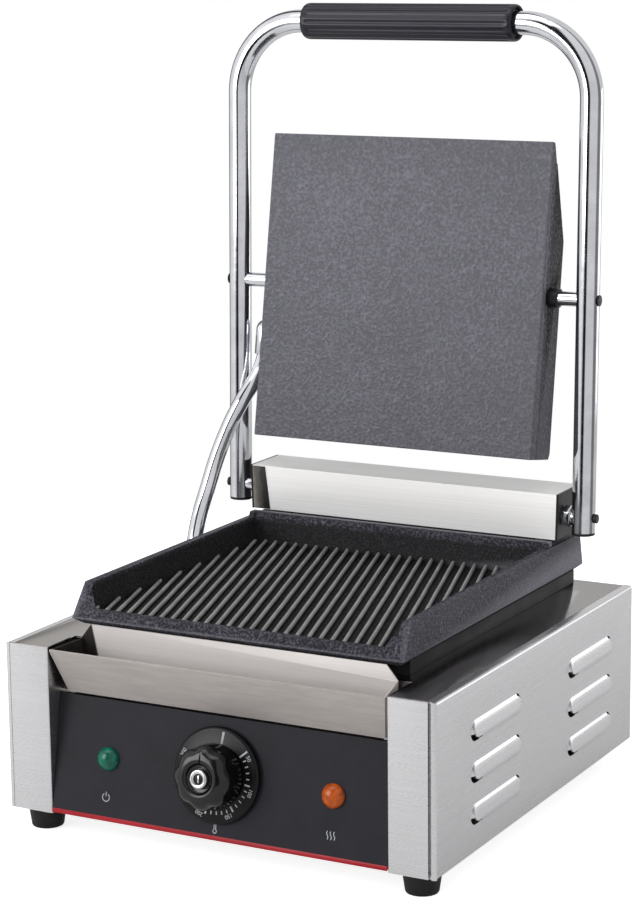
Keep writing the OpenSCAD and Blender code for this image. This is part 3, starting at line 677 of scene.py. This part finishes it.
def combine(base, other, operation):
    """Joins, cuts or meets two solids, and removes the second."""
    step = base.modifiers.new("combine", "BOOLEAN")
    step.operation = operation
    step.solver = "EXACT"
    step.object = other
    applied(base)
    bpy.data.objects.remove(other)
    return base


def rounded(piece, width, segments=3):
    """Rounds a solid's edges."""
    flat = piece.modifiers.new("flat", "DECIMATE")
    flat.decimate_type = "DISSOLVE"
    flat.angle_limit = TURN(0.3)
    edge = piece.modifiers.new("edge", "BEVEL")
    edge.width = width
    edge.segments = segments
    edge.limit_method = "ANGLE"
    edge.angle_limit = TURN(25)
    edge.harden_normals = False
    return applied(piece)


def lathe(profile, axis_at, turn, steps, radius=None):
    """A body of revolution about its own Y, from (radius, y) pairs in millimetres from end to end."""
    shape = bmesh.new()
    rows = []
    for r, y in profile:
        if r < 1e-6:
            rows.append([shape.verts.new((0, y / 1000, 0))])
            continue
        row = []
        for k in range(steps):
            a = 2 * math.pi * k / steps
            rr = radius(r, y, a) if radius else r
            row.append(shape.verts.new((rr * math.sin(a) / 1000, y / 1000, rr * math.cos(a) / 1000)))
        rows.append(row)
    for a, b in zip(rows, rows[1:]):
        if len(a) == 1 and len(b) > 1:
            for k in range(steps):
                shape.faces.new((a[0], b[k], b[(k + 1) % steps]))
        elif len(b) == 1 and len(a) > 1:
            for k in range(steps):
                shape.faces.new((a[k], a[(k + 1) % steps], b[0]))
        elif len(a) > 1:
            bridge(shape, a, b, closed=True)
    shape.transform(Matrix.Translation(axis_at) @ turn)
    return shape


# ---------- Lower plate ----------


def casting():
    """The lower plate's body: a belted block with a sloping hollow, a low front lip and a rear wall."""
    base, belt, top = 136.0, 140.3, 162.0
    seen_from_front = [(-115, base), (115, base), (120.8, belt), (119, top), (-119, top), (-120.8, belt)]
    seen_from_side = [(33, base), (27, belt), (41, top), (307, top), (308, belt), (304, base)]
    block = loose("lower_casting", prism_y(0, 400, seen_from_front))
    combine(block, loose("cut", prism_x(-130, 130, seen_from_side)), "INTERSECT")
    wall = loose("wall", prism_x(-117, 117, [(250, 154), (255, 165.5), (262, 165.5), (262, 154)]))
    combine(block, wall, "UNION")
    hollow_front = [(-109.2, 143), (109.2, 143), (113.5, 167), (-113.5, 167)]
    hollow_side = [(37, 143), (252, 143), (256.5, 170.5), (-10, 170.5), (-10, 146.5), (35, 146.5)]
    hollow_half = [(104.5, -20), (104.5, 31), (120, 47), (120, 400)]
    hollow_top = [(-x, y) for x, y in hollow_half] + hollow_half[::-1]
    hollow = loose("hollow", prism_y(-50, 400, hollow_front))
    combine(hollow, loose("cut", prism_x(-130, 130, hollow_side)), "INTERSECT")
    mouth = prism(*[[at(x, y, z) for x, y in hollow_top] for z in (100, 200)])
    combine(hollow, loose("cut", mouth), "INTERSECT")
    combine(block, hollow, "DIFFERENCE")
    pocket = loose("pocket", prism_x(-108, 108, [(264, 130), (302, 130), (302, 170), (264, 170)]))
    combine(block, pocket, "DIFFERENCE")
    rounded(block, 0.0011)
    finish_piece(block, "base", "cast_iron", ("lower_plate",), 40)


# Half widths and heights up one side of a rib, over its round top.
RIB_SIDE = [(1.55, 142.6), (1.25, 144.6), (1.1, 145.7), (0.75, 146.3), (0.3, 146.5)]


def ribs():
    """Parallel ribs that run back across the hollow and drift to the left, each with a round top."""
    pitch, lean = 8.3, math.tan(TURN(17.7))
    start, end, limit = 35.2, 252.6, 110.0
    shortest, stride = 6, 12
    shape = bmesh.new()
    profile = RIB_SIDE + [(-w, z) for w, z in reversed(RIB_SIDE)]
    along = Vector((-lean, 1.0)).normalized()
    across = Vector((along.y, -along.x))
    for i in range(-15, 24):
        x0 = i * pitch
        first, last = start, end
        if x0 > limit:
            first = start + (x0 - limit) / lean
        if x0 - (end - start) * lean < -limit:
            last = start + (x0 + limit) / lean
        if last - first < shortest:
            continue
        rows = []
        steps = max(2, int((last - first) / stride))
        for s in range(steps + 1):
            y = first + (last - first) * s / steps
            x = x0 - (y - start) * lean
            wave = 0.06 * math.sin(0.11 * y + 1.7 * i)
            row = [at(x + across.x * (w + wave), y + across.y * (w + wave), z) for w, z in profile]
            rows.append([shape.verts.new(point) for point in row])
        loft(shape, rows)
    piece_from("lower_ribs", shape, "base", "rib_iron", ("lower_plate",), 50)


def hinge_box_strip():
    """A thin strip on the left end of the hinge box's front, that carries painted shade."""
    outline = [(-118.9, 197.4), (-108.8, 197.4), (-105.0, 166.5), (-118.3, 166.5)]
    strip = rounded(loose("hinge_box_strip", prism_y(263.6, 264.4, outline)), 0.00015, 2)
    finish_piece(strip, "base", "end_shade")


# ---------- Side panels ----------


# In millimetres.
LOUVRE = {"length": 74.0, "height": 13.0, "pitch": 27.0, "middle": 67.5, "columns": (87.0, 239.5)}
# Each ring of a pressed louvre: how far it lies outside the slot, and how far it stands out.
PRESSING = (
    (3.0, 0.0), (0.7, 0.0), (0.1, 0.2), (-0.4, 0.9), (-0.9, 1.8), (-1.5, 2.5), (-2.3, 2.88), (-4.2, 3.0),
)
SHEET_THICKNESS = 0.0012


def slot_outline(offset):
    """Points round a louvre's slot: its front end, its top, its rear end and its bottom."""
    radius = LOUVRE["height"] / 2 + offset
    half = (LOUVRE["length"] - LOUVRE["height"]) / 2
    steps = 12
    points = []
    for side in (-1, 1):
        for k in range(steps + 1):
            a = math.pi * k / steps
            points.append((side * (half + radius * math.sin(a)), side * radius * math.cos(a)))
        for k in range(1, steps):
            points.append((side * half * (1 - 2 * k / steps), -side * radius))
    return points


def louvre_rings(y, z):
    """The rings of one pressed louvre, from the flat sheet on, as (outwards, back, up) points."""
    rings = []
    for offset, out in PRESSING:
        points = slot_outline(offset)
        rings.append([(out * (0.62 - 0.76 * v / LOUVRE["height"]), y + u, z + v) for u, v in points])
    return rings


def vented(k, count, ring):
    """True where the pressing is torn open: its lower front corner and, less, its upper rear corner."""
    share = (k % (count // 2)) / (count // 2)
    if k < count // 2:
        return share < 0.2 and 1 <= ring <= 5
    return (share < 0.13 and 2 <= ring <= 4) or (share > 0.93 and 1 <= ring <= 5)


def side_panel(side):
    """A folded side panel: its front pillar, and a flat side with pressed louvres and folded edges."""
    name = "side_panel_right" if side > 0 else "side_panel_left"
    low, high, back = 15.0, 126.5, 315.0
    bend, half, inner, flange = 1.7, 155.0, 122.4, 149.0
    reach = half - bend - 1.4
    gap = 2.1 if side > 0 else 0.3
    shape = bmesh.new()

    def vert(x, y, z):
        return shape.verts.new(at(side * x, y, z))

    pillar = [(inner, 28.0)]
    for turn in (0, 30, 60, 90):
        pillar.append((inner + 1.0 - math.cos(TURN(turn)), 1.0 - math.sin(TURN(turn))))
    pillar.append((reach - gap, 0.0))
    bridge(shape, *[[vert(x, y, z) for x, y in pillar] for z in (low, high)])
    lap = [(reach - gap - 0.8, 1.3), (reach - gap - 0.8, 5.2), (half - 1.5, 5.2)]
    bridge(shape, *[[vert(x, y, z) for x, y in lap] for z in (low + 1.6, high - 1.6)])
    wrap = [(reach, 0.0)]
    for turn in (0, 22, 45, 68):
        wrap.append((half - bend + bend * math.sin(TURN(turn)), bend - bend * math.cos(TURN(turn))))
    strip = [[vert(x, y, z) for x, y in wrap] for z in (low, high)]
    bridge(shape, strip[0], strip[1])
    levels = [low + bend, high - bend]
    corner = [vert(half, bend, z) for z in [low] + levels + [high]]
    bridge(shape, [strip[0][-1], corner[0]], [strip[1][-1], corner[3]])
    rear = [vert(half, back, z) for z in levels]
    outline = (corner[1], corner[2], rear[1], rear[0])
    edges = [shape.edges.new(pair) for pair in zip(outline, outline[1:] + outline[:1])]
    for y in LOUVRE["columns"]:
        for row in (-1, 0, 1):
            places = louvre_rings(y, LOUVRE["middle"] + row * LOUVRE["pitch"])
            rings = [[vert(half + out, *place) for out, *place in ring] for ring in places]
            count = len(rings[0])
            edges += [shape.edges.new((rings[0][k], rings[0][(k + 1) % count])) for k in range(count)]
            for r, (a, b) in enumerate(zip(rings, rings[1:])):
                for k in range(count):
                    if not vented(k, count, r):
                        shape.faces.new((a[k], a[(k + 1) % count], b[(k + 1) % count], b[k]))
            shape.faces.new(rings[-1])
    bmesh.ops.triangle_fill(shape, use_beauty=True, use_dissolve=False, edges=edges, normal=(side, 0, 0))
    for level, way in ((levels[1], 1), (levels[0], -1)):
        first = [corner[2], rear[1]] if way > 0 else [corner[1], rear[0]]
        for turn in (22, 45, 68, 90):
            x = half - bend + bend * math.cos(TURN(turn))
            z = level + way * bend * math.sin(TURN(turn))
            row = [vert(x, bend, z), vert(x, back, z)]
            bridge(shape, first, row)
            first = row
        bridge(shape, first, [vert(flange, y, level + way * bend) for y in (bend, back)])
    bmesh.ops.remove_doubles(shape, verts=shape.verts, dist=1e-6)
    bmesh.ops.recalc_face_normals(shape, faces=shape.faces)
    outer = max(shape.faces, key=lambda f: f.calc_area())
    if outer.normal.x * side < 0:
        bmesh.ops.reverse_faces(shape, faces=shape.faces)
    piece = object_from(name + "_shell", shape)
    sheet = piece.modifiers.new("sheet", "SOLIDIFY")
    sheet.thickness = SHEET_THICKNESS
    sheet.offset = -1
    applied(piece)
    finish_piece(piece, "base", "steel_side", (name,), 32)


# ---------- Knob and panel marks ----------


PANEL_LEAN = TURN(10.3)
PANEL_TURN = Matrix.Rotation(-PANEL_LEAN, 4, "X")


def on_panel(x, up, out=0.0):
    """A point on the sloping panel: across, up along it, and out from it, in millimetres."""
    foot = at(0, 0, 15)
    return foot + PANEL_TURN.to_3x3() @ Vector((x / 1000, -out / 1000, up / 1000))


KNOB_UP = 42.7

# The knob's parts as (radius, place along the axis) in millimetres, with its outside at negative places.
SKIRT_PROFILE = (
    (0, -2), (30.2, -2), (30.9, -2.3), (31, -2.9), (30.6, -4.0), (29.6, -4.9), (28.9, -5), (14, -5),
    (13.4, -5.4), (13, -6.9), (0, -6.9),
)
KNOB_GRIP_PROFILE = (
    (0, -7), (19.8, -7), (20.7, -7.4), (21, -8.4), (20.9, -14), (20.7, -18.6), (20.2, -21), (19.3, -22.9),
    (18.1, -24.2), (16.6, -25.2), (14.8, -25.9), (12.8, -26.3), (11.2, -26.4), (10.2, -26.2), (9.7, -25.7),
    (9.4, -24.8), (8.8, -24.0), (7.6, -23.6), (0, -23.5),
)
CAP_PROFILE = (
    (3.4, -23.7), (5.9, -23.7), (6.1, -24.5), (6.05, -26.2), (5.7, -26.65), (5.1, -26.8), (4.1, -26.7),
    (3.5, -26.3), (3.3, -25.4), (3.4, -23.7),
)
PLUG_PROFILE = ((0, -23.6), (3.35, -23.6), (3.35, -25.5), (2.9, -25.7), (0, -25.7))


def scallop(r, y, a):
    """Eight shallow flats round the grip's side and shoulder, that fade out towards its face."""
    depth = 1.5 * min(1.0, max(0.0, (-y - 7.5) / 6.0)) * min(1.0, max(0.0, (r - 14.5) / 4.0))
    return r - depth * (0.5 - 0.5 * math.cos(8 * a)) ** 1.4


def knob():
    """The knob's skirt, its scalloped grip with a pointer slot, and its cap: a ring, a plug and a bar."""
    centre = on_panel(0, KNOB_UP)
    skirt = lathe(SKIRT_PROFILE, centre, PANEL_TURN, 96)
    piece_from("knob_skirt_shell", skirt, "knob", "knob_black", ("knob_skirt",), 35)
    grip_body = loose("knob_grip_shell", lathe(KNOB_GRIP_PROFILE, centre, PANEL_TURN, 160, scallop))
    pointer = box_shape(-0.55, 0.55, -1.2, 1.2, 9.9, 24)
    place_on_knob(pointer, 26.3, 0)
    combine(grip_body, loose("pointer", pointer), "DIFFERENCE")
    finish_piece(grip_body, "knob", "knob_gloss", ("knob_grip",), 35)
    cap = lathe(CAP_PROFILE, centre, PANEL_TURN, 64)
    piece_from("knob_cap_ring", cap, "knob", "knob_cap", ("knob_cap",), 40)
    plug = lathe(PLUG_PROFILE, centre, PANEL_TURN, 48)
    piece_from("knob_plug", plug, "knob", "print_black")
    blade = box_shape(-0.55, 0.55, -0.3, 0.3, -2.3, 2.3)
    place_on_knob(blade, 25.8, 0)
    piece_from("knob_cap_bar", blade, "knob", "knob_cap")


def box_shape(x0, x1, y0, y1, z0, z1, edge=0.12):
    """A small rounded bar, in millimetres."""
    shape = bmesh.new()
    made = bmesh.ops.create_cube(shape, size=1.0)
    for v in made["verts"]:
        v.co = Vector(((x0, x1)[v.co.x > 0], (y0, y1)[v.co.y > 0], (z0, z1)[v.co.z > 0])) / 1000
    edges = list(shape.edges)
    bmesh.ops.bevel(shape, geom=edges, offset=edge / 1000, segments=2, affect="EDGES", profile=0.5)
    return shape


def place_on_knob(shape, out, clockwise):
    """Moves a shape out from the panel and round the knob's axis."""
    turn = Matrix.Rotation(TURN(clockwise), 4, "Y")
    lift = Matrix.Translation(on_panel(0, KNOB_UP)) @ PANEL_TURN @ Matrix.Translation((0, -out / 1000, 0))
    shape.transform(lift @ turn)


# In degrees clockwise: from the pointer's place at rest to the first mark, and from mark to mark.
FIRST_MARK, MARK_STEP = 50.0, 9.48


def graduations():
    """White marks and temperatures printed on the skirt, clockwise from the rest mark."""
    marks = bmesh.new()

    def add(z0, z1, half_width, angle):
        bar = box_shape(-half_width, half_width, -0.04, 0.05, z0, z1, 0.03)
        place_on_knob(bar, 5.0, angle)
        join(marks, bar)

    add(20.5, 28.4, 0.75, 8)
    for step in range(26):
        angle = FIRST_MARK + MARK_STEP * step
        if step % 5 == 0:
            add(21.6, 28.2 if step == 0 else 25.4, 0.6, angle)
        else:
            add(22.4, 24.6, 0.42, angle)
    piece_from("dial_marks", marks, "knob", "print_white")
    for step in range(6):
        dial_number(50 + 50 * step, FIRST_MARK + 5 * MARK_STEP * step)


def dial_number(degrees, angle):
    """One temperature on the skirt, a little clockwise of its mark."""
    name = f"dial_number_{degrees}"
    text = bpy.data.curves.new(name, "FONT")
    text.body = str(degrees)
    text.size = 0.0038
    text.align_x = "CENTER"
    text.align_y = "CENTER"
    text.extrude = 0.00004
    label = bpy.data.objects.new(name, text)
    bpy.context.scene.collection.objects.link(label)
    skirt_face = Matrix.Translation((0, -0.00503, 0))
    clockwise = Matrix.Rotation(TURN(angle + 9), 4, "Y")
    from_axis = Matrix.Translation((0, 0, 0.0267))
    upright = Matrix.Rotation(math.pi / 2, 4, "X")
    spot = skirt_face @ clockwise @ from_axis
    label.matrix_world = Matrix.Translation(on_panel(0, KNOB_UP)) @ PANEL_TURN @ spot @ upright
    bpy.context.view_layer.update()
    mesh = bpy.data.meshes.new_from_object(label)
    mesh.transform(label.matrix_world)
    bpy.data.objects.remove(label)
    number = bpy.data.objects.new(name, mesh)
    bpy.context.scene.collection.objects.link(number)
    finish_piece(number, "knob", "print_white")


def ribbon(points, width, thickness):
    """A flat printed line along points that are (across, up) in millimetres."""
    shape = bmesh.new()
    rows = []
    for i, (x, z) in enumerate(points):
        before, after = points[max(i - 1, 0)], points[min(i + 1, len(points) - 1)]
        along = Vector((after[0] - before[0], after[1] - before[1])).normalized()
        nx, nz = -along.y * width / 2, along.x * width / 2
        sides = ((x + nx, z + nz), (x - nx, z - nz))
        row = [(px / 1000, out / 1000, pz / 1000) for px, pz in sides for out in (0, -thickness)]
        rows.append([shape.verts.new(point) for point in row])
    for a, b in zip(rows, rows[1:]):
        for j, k in ((0, 2), (1, 3), (0, 1), (2, 3)):
            shape.faces.new((a[j], a[k], b[k], b[j]))
    for end in (rows[0], rows[-1]):
        shape.faces.new((end[0], end[1], end[3], end[2]))
    return shape


def arc_points(radius, start, end, steps=24, z=0.0):
    """Points on an arc round (0, z), clockwise from straight up, with its ends in degrees."""
    turns = [TURN(start + (end - start) * k / steps) for k in range(steps + 1)]
    return [(radius * math.sin(turn), z + radius * math.cos(turn)) for turn in turns]


def wave_points(x, low, high, swing):
    """Points up one full wave."""
    steps = 20
    turns = [2 * math.pi * k / steps for k in range(steps + 1)]
    return [(x + swing * math.sin(turn), low + (high - low) * k / steps) for k, turn in enumerate(turns)]


def panel_marks():
    """Generic printed signs: power and heat under the lamps, and a thermometer under the knob."""
    bulb = arc_points(1.25, 30, 330, 18, -1.4)
    stem = [[(x, -0.4), (x, 2.6)] for x in (-0.62, 0.62)]
    tip = arc_points(0.62, -90, 90, 10, 2.6)
    signs = {
        "sign_power": ((-82, 16.5), [arc_points(2.6, 35, 325), [(0, 0.6), (0, 3.6)]]),
        "sign_thermometer": ((0, 8.3), [bulb, *stem, tip]),
        "sign_heat": ((82, 16.5), [wave_points(x, -2.4, 2.8, 0.5) for x in (-2.4, 0.0, 2.4)]),
    }
    for name, ((x, up), lines) in signs.items():
        whole = bmesh.new()
        for line in lines:
            join(whole, ribbon(line, 0.55, 0.05))
        whole.transform(Matrix.Translation(on_panel(x, up, 0.5)) @ PANEL_TURN)
        piece_from(name, whole, "base", "print_white")


# ---------- Handle grip and conduit ----------


def grip():
    """A moulded grip with broad shallow flutes, round shoulders and dished ends."""
    low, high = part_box("handle_grip")
    centre = (low + high) / 2
    half = (high.x - low.x) / 2 * 1000
    radius = (high.z - low.z) / 2 * 1000
    flutes = 16

    def fluted(r, y, a):
        inside = min(1.0, max(0.0, (half - 2.5 - abs(y)) / 4.0))
        if r < radius - 2.4:
            return r
        groove = (0.5 + 0.5 * math.cos(flutes * a)) ** 1.3
        return r - 0.75 * groove * inside * inside * (3 - 2 * inside)

    end = [
        (8.15, 4.2), (9.3, 4.0), (10.0, 3.0), (10.5, 1.4), (10.9, 0.3), (11.3, 0.0),
        (11.8, 0.2), (12.25, 0.9), (12.55, 2.0), (12.7, 3.4), (12.7, 5.0), (12.7, 6.8),
    ]
    profile = [(r, -half + y) for r, y in end] + [(radius, v) for v in (-half / 2, 0, half / 2)]
    profile += [(r, half - y) for r, y in reversed(end)]
    profile = [(min(r, radius), y) for r, y in profile] + [(8.15, -half + 4.2)]
    turn = Matrix.Rotation(-math.pi / 2, 4, "Z")
    shape = lathe(profile, centre, turn, flutes * 12, fluted)
    bmesh.ops.remove_doubles(shape, verts=shape.verts, dist=1e-6)
    piece_from("handle_grip_shell", shape, "handle", "grip_black", ("handle_grip",), 50)


# Points across, back and up, in millimetres, from the gland in the deck to the elbow on the lid.
CONDUIT_ROUTE = (
    (-141, 214, 112), (-141, 214, 124), (-141, 214, 136), (-142, 219, 150), (-143, 228, 166),
    (-141, 237, 185), (-137, 244, 206), (-130, 250, 228), (-123, 257, 246), (-118.5, 264, 257),
    (-116.2, 271.5, 266.5), (-115.5, 276.9, 276), (-115.5, 278.6, 284), (-115.5, 280, 292),
)
CONDUIT_RADIUS = 0.0056


def spline(a, b, c, d, t):
    """A point between b and c on a smooth curve through four points."""
    squared = (2 * a - 5 * b + 4 * c - d) * t * t
    cubed = (3 * b - a - 3 * c + d) * t**3
    return 0.5 * (2 * b + (c - a) * t + squared + cubed)


def conduit():
    """A chromed conduit from the deck's gland to the lid's elbow."""
    points = [at(*p) for p in CONDUIT_ROUTE]
    ends = [points[0]] + points + [points[-1]]
    path = [spline(*ends[i : i + 4], k / 8) for i in range(len(points) - 1) for k in range(8)]
    path.append(points[-1])
    turns = [2 * math.pi * k / 28 for k in range(28)]
    shape = bmesh.new()
    rows = []
    for i, p in enumerate(path):
        along = (path[min(i + 1, len(path) - 1)] - path[max(i - 1, 0)]).normalized()
        side = along.cross(Vector((1, 0, 0))).normalized()
        out = side.cross(along)
        ring = [p + CONDUIT_RADIUS * (math.cos(turn) * out + math.sin(turn) * side) for turn in turns]
        rows.append([shape.verts.new(point) for point in ring])
    loft(shape, rows)
    piece = piece_from("conduit_tube", shape, None, "chrome", ("conduit",), 60)
    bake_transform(piece)


# ---------- The whole press ----------


# How far the edges of some CAD nodes are rounded, in metres.
NODE_EDGES = {
    "top_deck": 0.0004,
    "hinge_box": 0.0008,
    "drip_tray": 0.00035,
    "upper_plate": 0.001,
    "upper_cover": 0.001,
    "trim_strip": 0.00012,
    "foot_front_left": 0.0012,
    "foot_front_right": 0.0012,
    "foot_rear_left": 0.0012,
    "foot_rear_right": 0.0012,
    "mains_gland": 0.0005,
    "conduit_gland": 0.0004,
    "conduit_elbow": 0.0004,
    "shaft_collar": 0.0005,
    "shaft_screws": 0.0005,
    "pin_screws": 0.0002,
    "pivot_collar": 0.0005,
    "leg_plugs": 0.0005,
    "panel_screws": 0.0004,
    "cover_screws": 0.0004,
    "hinge_box_screws": 0.0004,
    "support_skirt": 0.0003,
}


def main():
    make_camera()
    make_studio()
    dress_nodes()
    casting()
    ribs()
    hinge_box_strip()
    for side in (-1, 1):
        side_panel(side)
    knob()
    graduations()
    panel_marks()
    grip()
    conduit()
    for node, width in NODE_EDGES.items():
        soften(node, width)


main()
